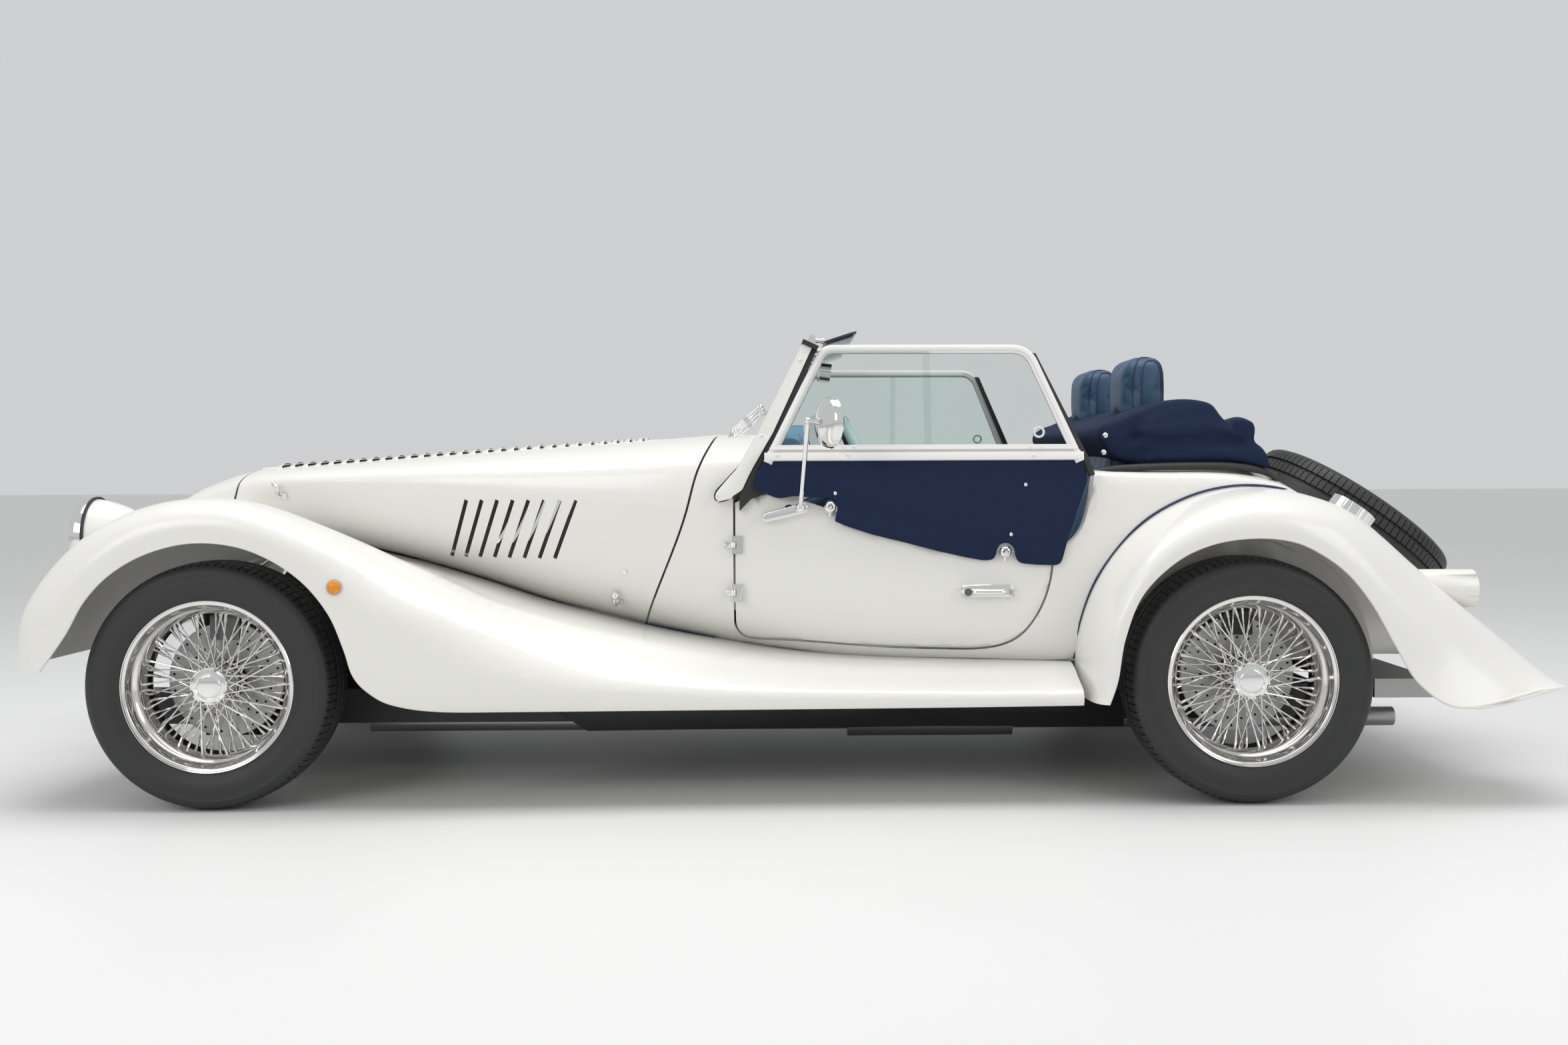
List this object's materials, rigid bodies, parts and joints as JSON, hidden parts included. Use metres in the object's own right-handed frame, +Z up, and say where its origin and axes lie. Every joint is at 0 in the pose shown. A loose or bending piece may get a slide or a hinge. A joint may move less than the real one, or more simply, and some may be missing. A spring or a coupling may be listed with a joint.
{
  "type": "convertible roadster car",
  "caption": "Open two-seat roadster with long bonnet, sweeping wings, wire wheels, opening doors and bonnet halves, steering, side screens and a folded hood.",
  "frame": {"origin": "on the ground under the middle of the car", "axes": "+X towards the tail, -Y to the left side, +Z up"},
  "size_m": [3.7987, 1.652, 1.1338],
  "materials": {
    "cream_paint": "pearl, glossy",
    "lamp_pod": "glossy",
    "lamp_glass": "domed",
    "black_steel": "satin",
    "bright_metal": "polished",
    "clear_glass": "clear",
    "blue_leather": "soft",
    "navy_cloth": "woven",
    "black_grip": "soft",
    "wheel_chrome": "polished",
    "tyre_rubber": "matte"
  },
  "bodies": {
    "car": {"body_rear": "cream_paint", "chassis": "black_steel", "cowl": "cream_paint", "dashboard": "blue_leather", "engine_block": "black_steel", "exhaust": "black_steel", "floor_pan": "black_steel", "front_suspension": "black_steel", "front_wing_left": "cream_paint", "front_wing_right": "cream_paint", "fuel_cap": "bright_metal", "grille": "bright_metal", "head_lamps": "cream_paint", "hood_folded": "navy_cloth", "lamp_lenses": "lamp_glass", "rear_axle": "black_steel", "rear_wing_left": "cream_paint", "rear_wing_right": "cream_paint", "scuttle": "cream_paint", "seat_left": "blue_leather", "seat_right": "blue_leather", "spare_tyre": "tyre_rubber", "spare_wheel": "wheel_chrome", "tail_lamps": "lamp_pod", "windscreen_frame": "bright_metal", "windscreen_glass": "clear_glass"},
    "bonnet_left": {"bonnet_left": "cream_paint"},
    "bonnet_right": {"bonnet_right": "cream_paint"},
    "door_left": {"door_left": "cream_paint", "side_screen_left": "cream_paint", "side_glass_left": "clear_glass"},
    "door_right": {"door_right": "cream_paint", "side_screen_right": "cream_paint", "side_glass_right": "clear_glass"},
    "steering_wheel": {"steering_wheel": "black_grip"},
    "knuckle_left": {"knuckle_left": "black_steel"},
    "knuckle_right": {"knuckle_right": "black_steel"},
    "wheel_front_left": {"wheel_front_left": "wheel_chrome", "tyre_front_left": "tyre_rubber"},
    "wheel_front_right": {"wheel_front_right": "wheel_chrome", "tyre_front_right": "tyre_rubber"},
    "wheel_rear_left": {"wheel_rear_left": "wheel_chrome", "tyre_rear_left": "tyre_rubber"},
    "wheel_rear_right": {"wheel_rear_right": "wheel_chrome", "tyre_rear_right": "tyre_rubber"}
  },
  "joints": [
    {"name": "bonnet_left_hinge", "type": "hinge", "parent": "car", "child": "bonnet_left", "pos_m": [-1.46354, 0, 0.82355], "axis": [-0.9977, 0, -0.0682], "range_deg": [0, 55]},
    {"name": "bonnet_right_hinge", "type": "hinge", "parent": "car", "child": "bonnet_right", "pos_m": [-1.46354, 0, 0.82355], "axis": [0.9977, 0, 0.0682], "range_deg": [0, 55]},
    {"name": "door_left_hinge", "type": "hinge", "parent": "car", "child": "door_left", "pos_m": [-0.1355, -0.596, 0.566], "axis": [0, 0, -1], "range_deg": [0, 65]},
    {"name": "door_right_hinge", "type": "hinge", "parent": "car", "child": "door_right", "pos_m": [-0.1355, 0.596, 0.566], "axis": [0, 0, 1], "range_deg": [0, 65]},
    {"name": "steer_left", "type": "hinge", "parent": "car", "child": "knuckle_left", "pos_m": [-1.3955, -0.566, 0.3], "axis": [0, 0, 1], "range_deg": [-30, 30]},
    {"name": "steer_right", "type": "hinge", "parent": "car", "child": "knuckle_right", "pos_m": [-1.3955, 0.566, 0.3], "axis": [0, 0, 1], "range_deg": [-30, 30]},
    {"name": "steering_wheel_turn", "type": "hinge", "parent": "car", "child": "steering_wheel", "pos_m": [0.21982, -0.33, 0.78533], "axis": [0.9135, 0, 0.4067], "range_deg": [-420, 420]},
    {"name": "spin_front_left", "type": "hinge", "parent": "knuckle_left", "child": "wheel_front_left", "pos_m": [-1.3955, -0.684, 0.3], "axis": [0, 1, 0], "continuous": true},
    {"name": "spin_front_right", "type": "hinge", "parent": "knuckle_right", "child": "wheel_front_right", "pos_m": [-1.3955, 0.684, 0.3], "axis": [0, 1, 0], "continuous": true},
    {"name": "spin_rear_left", "type": "hinge", "parent": "car", "child": "wheel_rear_left", "pos_m": [1.1245, -0.684, 0.3], "axis": [0, 1, 0], "continuous": true},
    {"name": "spin_rear_right", "type": "hinge", "parent": "car", "child": "wheel_rear_right", "pos_m": [1.1245, 0.684, 0.3], "axis": [0, 1, 0], "continuous": true}
  ],
  "couplings": [
    {"joint": "steer_right", "follows": "steer_left", "ratio": 1},
    {"joint": "steering_wheel_turn", "follows": "steer_left", "ratio": 14}
  ]
}
